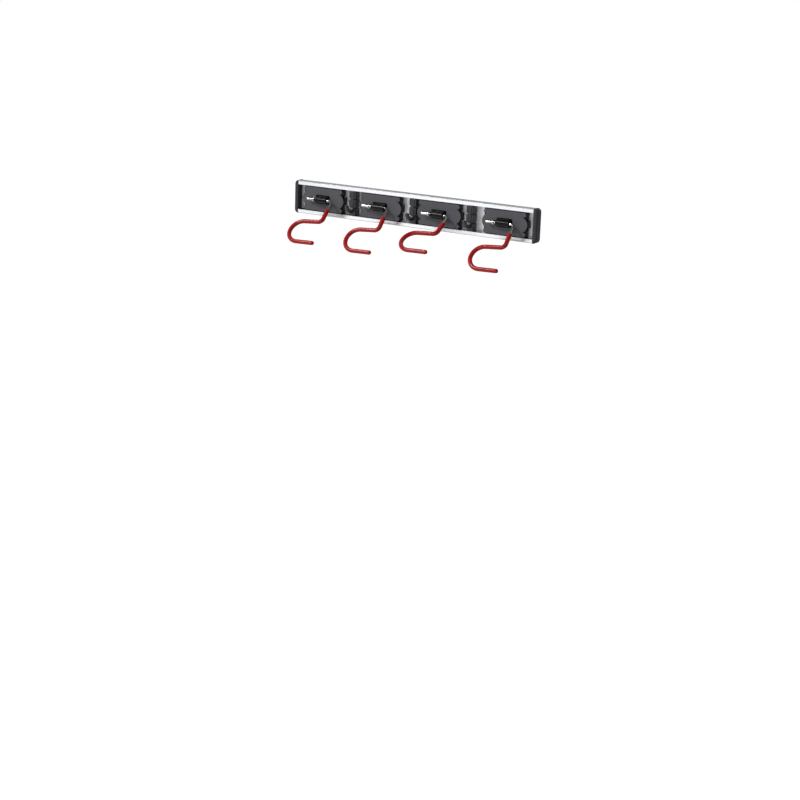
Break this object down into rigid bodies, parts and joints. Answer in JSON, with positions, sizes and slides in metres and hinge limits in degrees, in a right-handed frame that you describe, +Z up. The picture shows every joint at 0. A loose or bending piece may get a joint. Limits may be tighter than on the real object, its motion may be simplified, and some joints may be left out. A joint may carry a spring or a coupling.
{
  "type": "wall mop holder rack",
  "caption": "Aluminium wall rail with end caps, sliding black holders whose hinged red-coated S hooks grip poles, and small J hooks between them for brushes and cloths.",
  "frame": {"origin": "the middle of the rail's back face, on the wall", "axes": "+X along the rail to the right of someone facing it, +Y into the wall, +Z up; the front faces -Y"},
  "size_m": [0.5, 0.1056, 0.1072],
  "materials": {
    "aluminium": "bright anodised extrusion, brushed along its length",
    "black_plastic": "satin black moulding with fine spark-eroded grain",
    "gloss_black_plastic": "smooth black moulding",
    "grey_rubber": "matte charcoal rubber with fine grain",
    "bright_steel": "bright zinc-plated wire",
    "red_vinyl": "dipped soft vinyl coat, satin gloss"
  },
  "bodies": {
    "rail": {"rail": "aluminium", "end_cap_left": "black_plastic", "end_cap_right": "black_plastic"},
    "holder_1": {"carrier_1": "gloss_black_plastic", "grip_pad_1": "grey_rubber"},
    "j_slider_1": {"j_hook_1": "gloss_black_plastic"},
    "holder_2": {"carrier_2": "gloss_black_plastic", "grip_pad_2": "grey_rubber"},
    "j_slider_2": {"j_hook_2": "gloss_black_plastic"},
    "holder_3": {"carrier_3": "gloss_black_plastic", "grip_pad_3": "grey_rubber"},
    "j_slider_3": {"j_hook_3": "gloss_black_plastic"},
    "holder_4": {"carrier_4": "gloss_black_plastic", "grip_pad_4": "grey_rubber"},
    "hook_1": {"hook_rod_1": "bright_steel", "hook_sleeve_1": "red_vinyl", "rod_clip_1": "bright_steel"},
    "hook_2": {"hook_rod_2": "bright_steel", "hook_sleeve_2": "red_vinyl", "rod_clip_2": "bright_steel"},
    "hook_3": {"hook_rod_3": "bright_steel", "hook_sleeve_3": "red_vinyl", "rod_clip_3": "bright_steel"},
    "hook_4": {"hook_rod_4": "bright_steel", "hook_sleeve_4": "red_vinyl", "rod_clip_4": "bright_steel"}
  },
  "joints": [
    {"name": "holder_1_slide", "type": "slide", "parent": "rail", "child": "holder_1", "axis": [1, 0, 0], "range_m": [-0.0105, 0.0061]},
    {"name": "j_slider_1_slide", "type": "slide", "parent": "rail", "child": "j_slider_1", "axis": [1, 0, 0], "range_m": [-0.0061, 0.0036]},
    {"name": "holder_2_slide", "type": "slide", "parent": "rail", "child": "holder_2", "axis": [1, 0, 0], "range_m": [-0.0036, 0.0083]},
    {"name": "j_slider_2_slide", "type": "slide", "parent": "rail", "child": "j_slider_2", "axis": [1, 0, 0], "range_m": [-0.0083, 0.0011]},
    {"name": "holder_3_slide", "type": "slide", "parent": "rail", "child": "holder_3", "axis": [1, 0, 0], "range_m": [-0.0011, 0.0053]},
    {"name": "j_slider_3_slide", "type": "slide", "parent": "rail", "child": "j_slider_3", "axis": [1, 0, 0], "range_m": [-0.0053, 0.0086]},
    {"name": "holder_4_slide", "type": "slide", "parent": "rail", "child": "holder_4", "axis": [1, 0, 0], "range_m": [-0.0086, 0.0099]},
    {"name": "hook_1_swing", "type": "hinge", "parent": "holder_1", "child": "hook_1", "pos_m": [-0.1871, -0.023, 0], "axis": [-1, 0, 0], "range_deg": [-44, 136]},
    {"name": "hook_2_swing", "type": "hinge", "parent": "holder_2", "child": "hook_2", "pos_m": [-0.06475, -0.023, 0], "axis": [-1, 0, 0], "range_deg": [-41, 139]},
    {"name": "hook_3_swing", "type": "hinge", "parent": "holder_3", "child": "hook_3", "pos_m": [0.05705, -0.023, 0], "axis": [-1, 0, 0], "range_deg": [-56, 124]},
    {"name": "hook_4_swing", "type": "hinge", "parent": "holder_4", "child": "hook_4", "pos_m": [0.18765, -0.023, 0], "axis": [-1, 0, 0], "range_deg": [-40, 140]}
  ]
}
